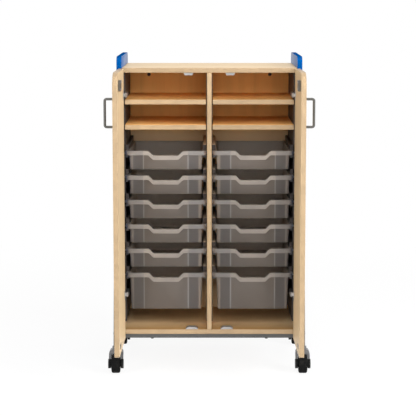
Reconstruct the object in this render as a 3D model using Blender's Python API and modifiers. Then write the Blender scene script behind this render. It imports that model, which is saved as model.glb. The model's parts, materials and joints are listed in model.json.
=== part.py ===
"""Two-bay classroom tray storage unit on casters, with hinged doors, shelves and sliding trays.

Metres, +Z up, front towards -Y. The origin is on the floor under the middle of the unit's box.
Every piece hangs on one empty whose y = 0 is the front plane of the cabinet.
"""

import math

import bmesh
import bpy
from mathutils import Matrix, Vector

# Clearances
SEAT = 0.0003
DOOR_GAP = 0.002
CENTRE_GAP = 0.001
SIDE_PLAY = 0.002

# Cabinet
PANEL_T = 0.019
INNER_HALF = 0.350
TOP_Z = 1.238
BASE_Z = 0.158
CABINET_DEPTH = 0.455
BACK_T = 0.009
EDGE_ROUND = 0.0015

# Blue end panels
END_T = 0.0195
END_DEPTH = 0.490
END_DROP = 0.033
FIN_HEIGHT = 0.045
FIN_RADIUS = 0.030
FOOT_RADIUS = 0.012
END_ROUND = 0.004

# Runner panels on the end panels and on the divider
OUTER_RUNNER_T = 0.0117
INNER_RUNNER_T = 0.003
RUNNER_REACH = 0.012
RUNNER_ABOVE = 0.022
RUNNER_BELOW = 0.025
RUNNER_SETBACK = 0.001
RUNNER_RISE = 0.026
SHELF_LEDGE_REACH = 0.010
SHELF_LEDGE_T = 0.004

# Shelves
SHELF_DROPS = (0.126, 0.227)
SHELF_SETBACK = 0.002

# Trays
TRAY_ROWS = 6
TRAY_DROP = 0.332
TRAY_HEADROOM = 0.0244
TRAYS_RISE = 0.082
TRAY_FRONT = 0.004
TRAY_DEPTH = 0.427
TRAY_FLANGE = 0.0135
FLANGE_T = 0.004
FLANGE_PLAY = 0.0007
APRON_H = 0.017
APRON_RETURN = 0.008
DEEP_H = 0.150
TRAY_WALL = 0.0025
TRAY_FLOOR = 0.0025
TRAY_TAPER = 0.034
RIM_CORNER = 0.018
BODY_CORNER = 0.012
CORNER_STEPS = 3
DIP_DEPTH = 0.0186
DIP_TOP_HALF = 0.070
DIP_FLAT_HALF = 0.0505
FRONT_PAD_HALF = 0.0905
FRONT_PAD_STEP = 0.0018

# Doors, drawn closed about their hinge axis and turned open
DOOR_T = 0.019
DOOR_OPEN_DEG = 90.7
DOOR_OVERHANG = 0.014
DOOR_TOP_GAP = 0.002
HINGE_INSET = 0.001
HINGE_EDGE = 0.005
HINGE_BACK = 0.008
DOOR_TOP_RADIUS = 0.060
DOOR_FOOT_RADIUS = 0.012
DOOR_HINGE_RADIUS = 0.002

# Concealed hinges
UPPER_HINGE_DROP = 0.107
LOWER_HINGE_RISE = 0.147
CUP_R = 0.0175
CUP_WALL = 0.0015
CUP_DEPTH = 0.011
CUP_FLANGE_R = 0.021
CUP_FLANGE_T = 0.0012
CUP_INSET = 0.0225
CUP_STEPS = 16
KNUCKLE_H = 0.023
KNUCKLE_DEPTH = 0.0055
KNUCKLE_TO_EDGE = 0.0032
KNUCKLE_TO_CUP = 0.009
HINGE_PIN_R = 0.0018
HINGE_PIN_LENGTH = 0.021
HINGE_PIN_STEPS = 10
HINGE_EYE_R = 0.0036
LINK_H = 0.012
LINK_T = 0.0024
LINK_PLAY = 0.0005
ARM_H = 0.018
ARM_PROUD = 0.0105
ARM_TAIL_T = 0.0063
ARM_LENGTH = 0.038
ARM_NOSE = 0.0095
ARM_LIFT = 0.002

# Door pulls, lock cases, strike plates and catches
PULL_WIRE_R = 0.005
PULL_REACH = 0.036
PULL_BEND = 0.007
PULL_SPAN = 0.1055
PULL_DROP = 0.1015
PULL_INSET = 0.035
LOCK_SIZE = 0.045
LOCK_H = 0.041
LOCK_PROUD = 0.010
LOCK_INSET = 0.040
LOCK_DROP = 0.032
STRIKE_W = 0.040
STRIKE_H = 0.016
STRIKE_T = 0.0012
STRIKE_RISE = 0.010
CATCH_H = 0.0095
CATCH_DEPTH = 0.028
CATCH_FACE_W = 0.031
TOP_CATCH_W = 0.037
BOTTOM_CATCH_W = 0.050
CATCH_FOOT_T = 0.0022
CATCH_SETBACK = 0.003
TOP_CATCH_X = 0.083
BOTTOM_CATCH_X = 0.071

# Steel base: beams between the end panels, and legs outside them
BEAM_H = 0.0162
BEAM_W = 0.020
BEAM_WALL = 0.002
BEAM_INSET = 0.004
LEG_BOTTOM_Z = 0.1025
LEG_TOP_Z = 0.500
LEG_FOOT_T = 0.0212
LEG_HEAD_T = 0.017
LEG_FOOT_W = 0.045
LEG_HEAD_W = 0.030
LEG_ROUND = 0.004
STEM_INSET = 0.025

# Casters
WHEEL_R = 0.038
WHEEL_W = 0.035
TREAD_ROUND = 0.006
HUB_R = 0.0165
HUB_W = 0.0375
RIM_R = 0.027
RIM_RECESS = 0.004
AXLE_R = 0.004
AXLE_PLAY = 0.0004
AXLE_CAP_R = 0.0195
AXLE_CAP_T = 0.002
FORK_W = 0.058
FORK_GAP = 0.0385
FORK_TOP_Z = 0.0935
WHEEL_CLEAR = 0.003
FORK_HALF = 0.020
FORK_EYE_R = 0.013
EYE_STEPS = 6
SHOULDER_STEPS = 4
FORK_ROUND = 0.006
FORK_SHOULDER = 0.018
HEAD_R = 0.0165
HEAD_SINK = 0.0055
STEM_R = 0.0055
STEM_PLAY = 0.0003
STEM_LENGTH = 0.038
TRAIL = 0.038
WHEEL_STEPS = 24
ROUND_STEPS = 20

SIDES = (("left", -1), ("right", 1))
ENDS = (("front", -1), ("rear", 1))

# Heights and places that follow from the sizes above
TOP_UNDER_Z = TOP_Z - PANEL_T
BASE_TOP_Z = BASE_Z + PANEL_T
INNER_DEPTH = CABINET_DEPTH - BACK_T
DIVIDER_HALF = PANEL_T / 2
END_BOTTOM_Z = BASE_Z - END_DROP
RUNNER_BOTTOM_Z = BASE_TOP_Z + RUNNER_RISE
SHELF_TOPS = tuple(TOP_Z - drop for drop in SHELF_DROPS)
TRAY_TOP_Z = TOP_Z - TRAY_DROP
TRAY_PITCH = (TRAY_TOP_Z - BASE_TOP_Z - TRAYS_RISE - DEEP_H) / (TRAY_ROWS - 1)
SHALLOW_H = TRAY_PITCH - TRAY_HEADROOM
DOOR_TOP_Z = TOP_Z - DOOR_TOP_GAP
DOOR_BOTTOM_Z = BASE_Z - DOOR_OVERHANG
HINGE_HEIGHTS = (TOP_Z - UPPER_HINGE_DROP, BASE_TOP_Z + LOWER_HINGE_RISE)
PULL_LOW_Z = TOP_Z - PULL_DROP - PULL_SPAN
LOCK_BOTTOM_Z = TOP_Z - LOCK_DROP - LOCK_H
STRIKE_BOTTOM_Z = BASE_Z + STRIKE_RISE
APRON_BACK = TRAY_FRONT + TRAY_FLANGE + BODY_CORNER + APRON_RETURN
RUNNER_FRONT = APRON_BACK + RUNNER_SETBACK
RUNNER_BACK = INNER_DEPTH - SEAT
OUTER_FACE_X = INNER_HALF - SEAT - OUTER_RUNNER_T
INNER_FACE_X = DIVIDER_HALF + SEAT + INNER_RUNNER_T
BAY_X = (OUTER_FACE_X + INNER_FACE_X) / 2
TRAY_W = OUTER_FACE_X - INNER_FACE_X - 2 * SIDE_PLAY
HINGE_X = INNER_HALF - HINGE_INSET
HINGE_Y = -DOOR_GAP - HINGE_BACK
DOOR_W = HINGE_X + HINGE_EDGE - CENTRE_GAP
STEM_X = INNER_HALF + END_T + SEAT + LEG_FOOT_T / 2
STEM_Y = {"front": STEM_INSET, "rear": END_DEPTH - STEM_INSET}
FRONT_REACH = (
    HINGE_Y
    - (DOOR_W - HINGE_EDGE) * math.sin(math.radians(DOOR_OPEN_DEG))
    + HINGE_BACK * math.cos(math.radians(DOOR_OPEN_DEG))
)
REAR_REACH = STEM_Y["rear"] + TRAIL + WHEEL_R
FRONT_PLANE_Y = -(FRONT_REACH + REAR_REACH) / 2


def tray_top(row):
    """Height of the rim of a tray, row 0 at the top."""
    return TRAY_TOP_Z - row * TRAY_PITCH


def tray_height(row):
    """The lowest row holds the deep trays."""
    return DEEP_H if row == TRAY_ROWS - 1 else SHALLOW_H


# Scene helpers

def clear_scene():
    for old in list(bpy.data.objects):
        bpy.data.objects.remove(old, do_unlink=True)


def new_collection(name):
    made = bpy.data.collections.new(name)
    bpy.context.scene.collection.children.link(made)
    return made


def finish(name, colour, roughness, metallic=0.0):
    material = bpy.data.materials.new(name)
    material.use_nodes = True
    shader = material.node_tree.nodes["Principled BSDF"]
    shader.inputs["Base Color"].default_value = (*colour, 1.0)
    shader.inputs["Roughness"].default_value = roughness
    shader.inputs["Metallic"].default_value = metallic
    return material


def empty(name, location, parent=None, turn_z=0.0):
    made = bpy.data.objects.new(name, None)
    PARTS.objects.link(made)
    made.parent = parent
    made.location = location
    made.rotation_euler = (0, 0, turn_z)
    return made


def place(name, mesh, material, parent):
    """A piece of the unit, with its mesh in its parent's frame."""
    made = bpy.data.objects.new(name, mesh)
    made.data.materials.clear()
    made.data.materials.append(material)
    made.parent = parent
    PARTS.objects.link(made)
    return made


def cutter(name, mesh, parent):
    made = bpy.data.objects.new(name, mesh)
    made.parent = parent
    made.hide_render = True
    made.display_type = "WIRE"
    CUTTERS.objects.link(made)
    return made


def boolean(target, tool, operation="DIFFERENCE"):
    modifier = target.modifiers.new(operation.title(), "BOOLEAN")
    modifier.operation = operation
    modifier.object = tool


def round_edges(target, width, segments=1):
    modifier = target.modifiers.new("Round", "BEVEL")
    modifier.width = width
    modifier.segments = segments
    modifier.limit_method = "ANGLE"
    modifier.angle_limit = math.radians(40)


def mesh_from(bm, name):
    mesh = bpy.data.meshes.new(name)
    bmesh.ops.recalc_face_normals(bm, faces=bm.faces)
    bm.to_mesh(mesh)
    bm.free()
    return mesh


def evaluated_mesh(made):
    """The mesh an object evaluates to, welded, with the object removed."""
    graph = bpy.context.evaluated_depsgraph_get()
    mesh = bpy.data.meshes.new_from_object(made.evaluated_get(graph))
    bpy.data.objects.remove(made, do_unlink=True)
    bm = bmesh.new()
    bm.from_mesh(mesh)
    bmesh.ops.remove_doubles(bm, verts=bm.verts, dist=1e-6)
    return mesh_from(bm, mesh.name)


def mirrored(mesh, side):
    """Left-hand pieces are the right-hand mesh turned over the middle plane."""
    if side < 0:
        mesh.transform(Matrix.Scale(-1, 4, (1, 0, 0)))
        mesh.flip_normals()
    return mesh


def smooth(mesh, degrees=35):
    mesh.shade_smooth()
    mesh.set_sharp_from_angle(angle=math.radians(degrees))
    return mesh


# Shape helpers

def box_mesh(low, high):
    bm = bmesh.new()
    bmesh.ops.create_cube(bm, size=1)
    low = Vector(low)
    high = Vector(high)
    bmesh.ops.scale(bm, vec=high - low, verts=bm.verts)
    bmesh.ops.translate(bm, vec=(low + high) / 2, verts=bm.verts)
    return mesh_from(bm, "box")


def cylinder_mesh(radius, low, high, steps=ROUND_STEPS):
    """A cylinder along Z between two heights."""
    bm = bmesh.new()
    bmesh.ops.create_cone(
        bm, cap_ends=True, segments=steps, radius1=radius, radius2=radius, depth=high - low
    )
    bmesh.ops.translate(bm, vec=(0, 0, (low + high) / 2), verts=bm.verts)
    return mesh_from(bm, "cylinder")


def arc(centre, radius, start_deg, end_deg, steps):
    return [
        (
            centre[0] + radius * math.cos(math.radians(start_deg + (end_deg - start_deg) * i / steps)),
            centre[1] + radius * math.sin(math.radians(start_deg + (end_deg - start_deg) * i / steps)),
        )
        for i in range(steps + 1)
    ]


def rounded_outline(low, high, radii, steps=6):
    """A rectangle with its own radius at each corner: low-low, high-low, high-high, low-high."""
    corners = (
        (low[0], low[1], 1, 1, 180),
        (high[0], low[1], -1, 1, 270),
        (high[0], high[1], -1, -1, 0),
        (low[0], high[1], 1, -1, 90),
    )
    points = []
    for (u, v, du, dv, start), radius in zip(corners, radii):
        points += arc((u + du * radius, v + dv * radius), radius, start, start + 90, steps)
    return points


def outline_mesh(points, thickness):
    """A flat outline filled and given a thickness, centred on its plane."""
    bm = bmesh.new()
    bm.faces.new([bm.verts.new((u, v, -thickness / 2)) for u, v in points])
    filled = bmesh.ops.triangulate(bm, faces=bm.faces[:])["faces"]
    grown = bmesh.ops.extrude_face_region(bm, geom=filled)["geom"]
    raised = [item for item in grown if isinstance(item, bmesh.types.BMVert)]
    bmesh.ops.translate(bm, vec=(0, 0, thickness), verts=raised)
    return mesh_from(bm, "outline")


# An outline drawn in (y, z) and thick along X, and one drawn in (x, z) and thick along Y
ON_SIDE = Matrix(((0, 0, 1, 0), (1, 0, 0, 0), (0, 1, 0, 0), (0, 0, 0, 1)))
ON_FRONT = Matrix(((1, 0, 0, 0), (0, 0, -1, 0), (0, 1, 0, 0), (0, 0, 0, 1)))


def side_plate(points, low_x, high_x):
    mesh = outline_mesh(points, high_x - low_x)
    mesh.transform(Matrix.Translation(((low_x + high_x) / 2, 0, 0)) @ ON_SIDE)
    return mesh


def front_plate(points, low_y, high_y):
    mesh = outline_mesh(points, high_y - low_y)
    mesh.transform(Matrix.Translation((0, (low_y + high_y) / 2, 0)) @ ON_FRONT)
    return mesh


def turned_mesh(profile, steps):
    """A closed shape turned about Z from a profile of (radius, height)."""
    mesh = bpy.data.meshes.new("profile")
    bm = bmesh.new()
    row = [bm.verts.new((radius, 0, height)) for radius, height in profile]
    for first, second in zip(row, row[1:]):
        bm.edges.new((first, second))
    if profile[0][0] > 0:
        bm.edges.new((row[-1], row[0]))
    bm.to_mesh(mesh)
    bm.free()
    drawn = bpy.data.objects.new("profile", mesh)
    CUTTERS.objects.link(drawn)
    screw = drawn.modifiers.new("Turn", "SCREW")
    screw.steps = steps
    screw.render_steps = steps
    screw.use_merge_vertices = True
    screw.merge_threshold = 0.00001
    return evaluated_mesh(drawn)


def lofted_mesh(rings):
    """Closed rings joined in turn, with the first and last filled."""
    bm = bmesh.new()
    loops = []
    for ring in rings:
        verts = [bm.verts.new(point) for point in ring]
        loops.append([bm.edges.new((a, b)) for a, b in zip(verts, verts[1:] + verts[:1])])
    for lower, upper in zip(loops, loops[1:]):
        bmesh.ops.bridge_loops(bm, edges=lower + upper)
    bmesh.ops.edgeloop_fill(bm, edges=loops[0])
    bmesh.ops.edgeloop_fill(bm, edges=loops[-1])
    return mesh_from(bm, "loft")


# Cabinet

def build_cabinet(unit):
    half = INNER_HALF - SEAT

    def panel(name, low, high, material):
        made = place(name, box_mesh(low, high), material, unit)
        round_edges(made, EDGE_ROUND)

    panel("top_panel", (-half, 0, TOP_UNDER_Z), (half, CABINET_DEPTH, TOP_Z), MAPLE)
    panel("bottom_panel", (-half, 0, BASE_Z), (half, CABINET_DEPTH, BASE_TOP_Z), MAPLE)
    low_z = BASE_TOP_Z + SEAT
    high_z = TOP_UNDER_Z - SEAT
    panel("back_panel", (-half, INNER_DEPTH, low_z), (half, CABINET_DEPTH, high_z), MAPLE)
    panel(
        "centre_divider",
        (-DIVIDER_HALF, 0, low_z),
        (DIVIDER_HALF, INNER_DEPTH - SEAT, high_z),
        MAPLE,
    )
    for hand, side in SIDES:
        build_end_panel(unit, hand, side)
        for place_name, top in zip(("upper", "lower"), SHELF_TOPS):
            inside = INNER_FACE_X + SEAT
            outside = OUTER_FACE_X - SEAT
            xs = sorted((side * inside, side * outside))
            panel(
                f"{hand}_{place_name}_shelf",
                (xs[0], SHELF_SETBACK, top - PANEL_T),
                (xs[1], INNER_DEPTH - SEAT, top),
                MAPLE,
            )


def build_end_panel(unit, hand, side):
    outline = rounded_outline(
        (0, END_BOTTOM_Z),
        (END_DEPTH, TOP_Z + FIN_HEIGHT),
        (FOOT_RADIUS, FOOT_RADIUS, FIN_RADIUS, FIN_RADIUS),
    )
    mesh = mirrored(side_plate(outline, INNER_HALF, INNER_HALF + END_T), side)
    made = place(f"{hand}_end_panel", mesh, BLUE, unit)
    round_edges(made, END_ROUND, 2)


# Runner panels: a flat panel with a grooved runner for each tray and a ledge for each shelf

def runner_profile(thickness):
    """Outline in (reach, z): reach 0 is the panel's back, and runners stand out from its face."""
    face = thickness
    points = [(0, TOP_UNDER_Z - SEAT), (0, RUNNER_BOTTOM_Z), (face, RUNNER_BOTTOM_Z)]
    for row in reversed(range(TRAY_ROWS)):
        rim = tray_top(row)
        groove_low = rim - FLANGE_T - SEAT
        groove_high = rim + FLANGE_PLAY
        tip = face + RUNNER_REACH
        points += [
            (face, groove_low - RUNNER_BELOW),
            (tip, groove_low - RUNNER_BELOW),
            (tip, groove_low),
            (face, groove_low),
            (face, groove_high),
            (tip, groove_high),
            (tip, groove_high + RUNNER_ABOVE),
            (face, groove_high + RUNNER_ABOVE),
        ]
    for top in sorted(SHELF_TOPS):
        ledge = top - PANEL_T - SEAT
        tip = face + SHELF_LEDGE_REACH
        points += [
            (face, ledge - SHELF_LEDGE_T),
            (tip, ledge - SHELF_LEDGE_T),
            (tip, ledge),
            (face, ledge),
        ]
    points.append((face, TOP_UNDER_Z - SEAT))
    return points


def build_runner_panels(unit):
    for hand, side in SIDES:
        outer = [(INNER_HALF - SEAT - reach, z) for reach, z in runner_profile(OUTER_RUNNER_T)]
        inner = [(DIVIDER_HALF + SEAT + reach, z) for reach, z in runner_profile(INNER_RUNNER_T)]
        for place_name, outline in (("outer", outer), ("inner", inner)):
            mesh = mirrored(front_plate(outline, RUNNER_FRONT, RUNNER_BACK), side)
            place(f"{hand}_{place_name}_runner_panel", mesh, BLACK, unit)


# Trays

def tray_ring(half_w, front, back, radius, z, dip=0.0, pad=0.0, apron=0.0):
    """One level of a tray, anticlockwise from its front left corner.

    dip lowers the middle of the front, pad brings the front panel forward, and apron
    lowers the front and its two corners.
    """
    points = []
    for x, y in arc((-half_w + radius, front + radius), radius, 180, 270, CORNER_STEPS):
        points.append((x, y, z - apron))
    steps = (
        (-FRONT_PAD_HALF, 0, 0),
        (-FRONT_PAD_HALF + FRONT_PAD_STEP, 1, 0),
        (-DIP_TOP_HALF, 1, 0),
        (-DIP_FLAT_HALF, 1, 1),
        (DIP_FLAT_HALF, 1, 1),
        (DIP_TOP_HALF, 1, 0),
        (FRONT_PAD_HALF - FRONT_PAD_STEP, 1, 0),
        (FRONT_PAD_HALF, 0, 0),
    )
    for x, raised, lowered in steps:
        points.append((x, front - raised * pad, z - apron - lowered * dip))
    for x, y in arc((half_w - radius, front + radius), radius, 270, 360, CORNER_STEPS):
        points.append((x, y, z - apron))
    points.append((half_w, APRON_BACK, z))
    for x, y in arc((half_w - radius, back - radius), radius, 0, 90, CORNER_STEPS):
        points.append((x, y, z))
    for x, y in arc((-half_w + radius, back - radius), radius, 90, 180, CORNER_STEPS):
        points.append((x, y, z))
    points.append((-half_w, APRON_BACK, z))
    return points


def tray_mesh(centre_x, rim_z, height):
    half = TRAY_W / 2
    front = TRAY_FRONT
    back = TRAY_FRONT + TRAY_DEPTH
    under = rim_z - FLANGE_T
    floor = rim_z - height
    body = TRAY_FLANGE
    inside = body + TRAY_WALL
    drawn_in = TRAY_TAPER * height
    apron = APRON_H - FLANGE_T
    inner_corner = BODY_CORNER - TRAY_WALL
    rings = (
        tray_ring(
            half - body - drawn_in, front + body + drawn_in, back - body - drawn_in,
            BODY_CORNER, floor, pad=FRONT_PAD_STEP,
        ),
        tray_ring(
            half - body, front + body, back - body,
            BODY_CORNER, under, DIP_DEPTH, FRONT_PAD_STEP, apron,
        ),
        tray_ring(half, front, back, RIM_CORNER, under, DIP_DEPTH, 0.0, apron),
        tray_ring(half, front, back, RIM_CORNER, rim_z, DIP_DEPTH),
        tray_ring(half - inside, front + inside, back - inside, inner_corner, rim_z, DIP_DEPTH),
        tray_ring(
            half - inside - drawn_in, front + inside + drawn_in, back - inside - drawn_in,
            inner_corner, floor + TRAY_FLOOR,
        ),
    )
    mesh = lofted_mesh(rings)
    mesh.transform(Matrix.Translation((centre_x, 0, 0)))
    return mesh


def build_trays(unit):
    for hand, side in SIDES:
        for row in range(TRAY_ROWS):
            mesh = tray_mesh(side * BAY_X, tray_top(row), tray_height(row))
            place(f"{hand}_tray_{row + 1}", smooth(mesh), SMOKE, unit)


# Doors, drawn closed for the right hand: hinge edge at +X, inner face towards +Y

def build_door(unit, hand, side):
    swing = empty(
        f"{hand}_door_axis",
        (side * HINGE_X, HINGE_Y, 0),
        unit,
        side * math.radians(DOOR_OPEN_DEG),
    )
    free_x = HINGE_EDGE - DOOR_W
    inner_y = HINGE_BACK
    outer_y = HINGE_BACK - DOOR_T
    outline = rounded_outline(
        (free_x, DOOR_BOTTOM_Z),
        (HINGE_EDGE, DOOR_TOP_Z),
        (DOOR_FOOT_RADIUS, DOOR_HINGE_RADIUS, DOOR_HINGE_RADIUS, DOOR_TOP_RADIUS),
    )
    door = place(f"{hand}_door", mirrored(front_plate(outline, outer_y, inner_y), side), MAPLE, swing)
    round_edges(door, EDGE_ROUND)
    for place_name, z in zip(("upper", "lower"), HINGE_HEIGHTS):
        build_hinge(unit, swing, door, f"{hand}_{place_name}", side, z)
    build_pull(swing, hand, side, free_x + PULL_INSET, outer_y)
    lock = box_mesh(
        (free_x + LOCK_INSET, inner_y + SEAT, LOCK_BOTTOM_Z),
        (free_x + LOCK_INSET + LOCK_SIZE, inner_y + SEAT + LOCK_PROUD, LOCK_BOTTOM_Z + LOCK_H),
    )
    round_edges(place(f"{hand}_lock_case", mirrored(lock, side), STEEL, swing), EDGE_ROUND)
    strike_x = BOTTOM_CATCH_X - HINGE_X
    strike = box_mesh(
        (strike_x - STRIKE_W / 2, inner_y + SEAT, STRIKE_BOTTOM_Z),
        (strike_x + STRIKE_W / 2, inner_y + SEAT + STRIKE_T, STRIKE_BOTTOM_Z + STRIKE_H),
    )
    place(f"{hand}_strike_plate", mirrored(strike, side), STEEL, swing)


def build_hinge(unit, swing, door, name, side, z):
    """A cup let into the door with a pin across its knuckle, and an arm whose link turns on that pin."""

    def tool(part, mesh, parent):
        return cutter(f"{name}_{part}", mirrored(mesh, side), parent)

    cup_x = HINGE_EDGE - CUP_INSET
    into_door = Matrix.Translation((cup_x, HINGE_BACK, z)) @ Matrix.Rotation(math.radians(-90), 4, "X")
    recess = cylinder_mesh(CUP_R + SEAT, -CUP_DEPTH - SEAT, CUP_DEPTH, CUP_STEPS)
    recess.transform(into_door)
    boolean(door, tool("recess", recess, swing))
    knuckle_low = Vector((-KNUCKLE_TO_CUP, -KNUCKLE_DEPTH, z - KNUCKLE_H / 2))
    knuckle_high = Vector((KNUCKLE_TO_EDGE, HINGE_BACK + SEAT + CUP_FLANGE_T / 2, z + KNUCKLE_H / 2))
    room = Vector((SEAT, SEAT, SEAT))
    boolean(door, tool("pocket", box_mesh(knuckle_low - room, knuckle_high + room), swing))
    reach = HINGE_EYE_R + LINK_PLAY
    slot_half = LINK_H / 2 + LINK_PLAY
    slot = tool(
        "slot",
        box_mesh((-reach, -reach, z - slot_half), (HINGE_EDGE + reach, HINGE_BACK + reach, z + slot_half)),
        swing,
    )
    boolean(door, slot)

    flange_top = SEAT + CUP_FLANGE_T
    profile = (
        (0, CUP_WALL - CUP_DEPTH),
        (CUP_R - CUP_WALL, CUP_WALL - CUP_DEPTH),
        (CUP_R - CUP_WALL, flange_top),
        (CUP_FLANGE_R, flange_top),
        (CUP_FLANGE_R, SEAT),
        (CUP_R, SEAT),
        (CUP_R, -CUP_DEPTH),
        (0, -CUP_DEPTH),
    )
    turned = turned_mesh(profile, CUP_STEPS)
    turned.transform(into_door)
    cup = place(f"{name}_hinge_cup", smooth(mirrored(turned, side)), NICKEL, swing)
    boolean(cup, tool("knuckle", box_mesh(knuckle_low, knuckle_high), swing), "UNION")
    boolean(cup, slot)
    throat = box_mesh(
        (-KNUCKLE_TO_CUP - reach, -LINK_PLAY, z - slot_half),
        (0, HINGE_BACK + reach, z + slot_half),
    )
    boolean(cup, tool("throat", throat, swing))
    pin_half = HINGE_PIN_LENGTH / 2
    pin = cylinder_mesh(HINGE_PIN_R, z - pin_half, z + pin_half, HINGE_PIN_STEPS)
    boolean(cup, tool("pin", pin, swing), "UNION")

    wall = OUTER_FACE_X - SEAT
    back = RUNNER_FRONT + ARM_LENGTH
    outline = (
        (wall, back),
        (wall - ARM_TAIL_T, back),
        (wall - ARM_PROUD, back - ARM_PROUD),
        (wall - ARM_PROUD, 0),
        (wall - ARM_PROUD + ARM_LIFT, -ARM_NOSE),
        (wall - ARM_LIFT, -ARM_NOSE),
        (wall - ARM_LIFT, RUNNER_FRONT - ARM_LIFT),
        (wall, RUNNER_FRONT),
    )
    drawn = outline_mesh(outline, ARM_H)
    drawn.transform(Matrix.Translation((0, 0, z)))
    arm = place(f"{name}_hinge_arm", mirrored(drawn, side), NICKEL, unit)
    link = box_mesh(
        (wall - ARM_LIFT - LINK_T, HINGE_Y, z - LINK_H / 2),
        (HINGE_X, HINGE_Y + LINK_T, z + LINK_H / 2),
    )
    boolean(arm, tool("link", link, unit), "UNION")
    eye_half = (LINK_H + LINK_PLAY) / 2
    at_pin = Matrix.Translation((HINGE_X, HINGE_Y, z))
    eye = cylinder_mesh(HINGE_EYE_R, -eye_half, eye_half, HINGE_PIN_STEPS)
    eye.transform(at_pin)
    boolean(arm, tool("eye", eye, unit), "UNION")
    bore = cylinder_mesh(HINGE_PIN_R + SEAT, -KNUCKLE_H, KNUCKLE_H, HINGE_PIN_STEPS)
    bore.transform(at_pin)
    boolean(arm, tool("bore", bore, unit))


def build_pull(swing, hand, side, x, face_y):
    """A bent wire handle standing on the door's outer face."""
    low = PULL_LOW_Z
    high = PULL_LOW_Z + PULL_SPAN
    bar_y = face_y - PULL_REACH + PULL_WIRE_R
    path = [(face_y - SEAT, low)]
    path += arc((bar_y + PULL_BEND, low + PULL_BEND), PULL_BEND, 270, 180, 4)
    path += arc((bar_y + PULL_BEND, high - PULL_BEND), PULL_BEND, 180, 90, 4)
    path.append((face_y - SEAT, high))
    curve = bpy.data.curves.new("pull", "CURVE")
    curve.dimensions = "3D"
    curve.bevel_depth = PULL_WIRE_R
    curve.bevel_resolution = 2
    curve.use_fill_caps = True
    spline = curve.splines.new("POLY")
    spline.points.add(len(path) - 1)
    for point, (y, z) in zip(spline.points, path):
        point.co = (x, y, z, 1)
    drawn = bpy.data.objects.new("pull", curve)
    CUTTERS.objects.link(drawn)
    mesh = smooth(mirrored(evaluated_mesh(drawn), side), 50)
    place(f"{hand}_door_pull", mesh, STEEL, swing)


# Magnetic catches: a low case with sloping ends, under the top and on the bottom panel

def catch_outline(x, z, width, up):
    """Outline in (x, z) of a case that stands on height z, or hangs from it where up is -1."""
    half_foot = width / 2
    half_face = CATCH_FACE_W / 2
    points = (
        (-half_foot, 0),
        (half_foot, 0),
        (half_foot, CATCH_FOOT_T),
        (half_face, CATCH_H),
        (-half_face, CATCH_H),
        (-half_foot, CATCH_FOOT_T),
    )
    return [(x + u, z + up * v) for u, v in points]


def build_catches(unit):
    for hand, side in SIDES:
        low = catch_outline(side * BOTTOM_CATCH_X, BASE_TOP_Z + SEAT, BOTTOM_CATCH_W, 1)
        high = catch_outline(side * TOP_CATCH_X, TOP_UNDER_Z - SEAT, TOP_CATCH_W, -1)
        for place_name, points in (("bottom", low), ("top", high)):
            mesh = front_plate(points, CATCH_SETBACK, CATCH_SETBACK + CATCH_DEPTH)
            place(f"{hand}_{place_name}_catch", mesh, NICKEL, unit)


# Steel base

def build_base(unit):
    top = BASE_Z - SEAT
    half = INNER_HALF - SEAT
    beam_starts = {"front": BEAM_INSET, "rear": CABINET_DEPTH - BEAM_INSET - BEAM_W}
    for end, start in beam_starts.items():
        low = (-half, start, top - BEAM_H)
        high = (half, start + BEAM_W, top)
        beam = place(f"{end}_beam", box_mesh(low, high), STEEL, unit)
        bore = box_mesh(
            (-INNER_HALF - BEAM_W, low[1] + BEAM_WALL, low[2] + BEAM_WALL),
            (INNER_HALF + BEAM_W, high[1] - BEAM_WALL, high[2] - BEAM_WALL),
        )
        boolean(beam, cutter(f"{end}_beam_bore", bore, unit))
    for hand, side in SIDES:
        for end, direction in ENDS:
            build_leg(unit, f"{end}_{hand}", side, STEM_Y[end])
            build_caster(unit, f"{end}_{hand}", (side * STEM_X, STEM_Y[end], 0), direction)


def build_leg(unit, name, side, y):
    """A leg that tapers upwards, flat against the end panel, with a socket for the caster's stem."""
    inner_x = INNER_HALF + END_T + SEAT
    bm = bmesh.new()
    bmesh.ops.create_cube(bm, size=1)
    for vert in bm.verts:
        top = vert.co.z > 0
        width = LEG_HEAD_W if top else LEG_FOOT_W
        thick = LEG_HEAD_T if top else LEG_FOOT_T
        vert.co = (
            inner_x + (thick if vert.co.x > 0 else 0),
            y + math.copysign(width / 2, vert.co.y),
            LEG_TOP_Z if top else LEG_BOTTOM_Z,
        )
    leg = place(f"{name}_leg", mirrored(mesh_from(bm, "leg"), side), STEEL, unit)
    round_edges(leg, LEG_ROUND, 2)
    socket = cylinder_mesh(STEM_R + STEM_PLAY, LEG_BOTTOM_Z - STEM_LENGTH, LEG_BOTTOM_Z + STEM_LENGTH + SEAT)
    socket.transform(Matrix.Translation((side * STEM_X, y, 0)))
    boolean(leg, cutter(f"{name}_leg_socket", socket, unit))


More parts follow.
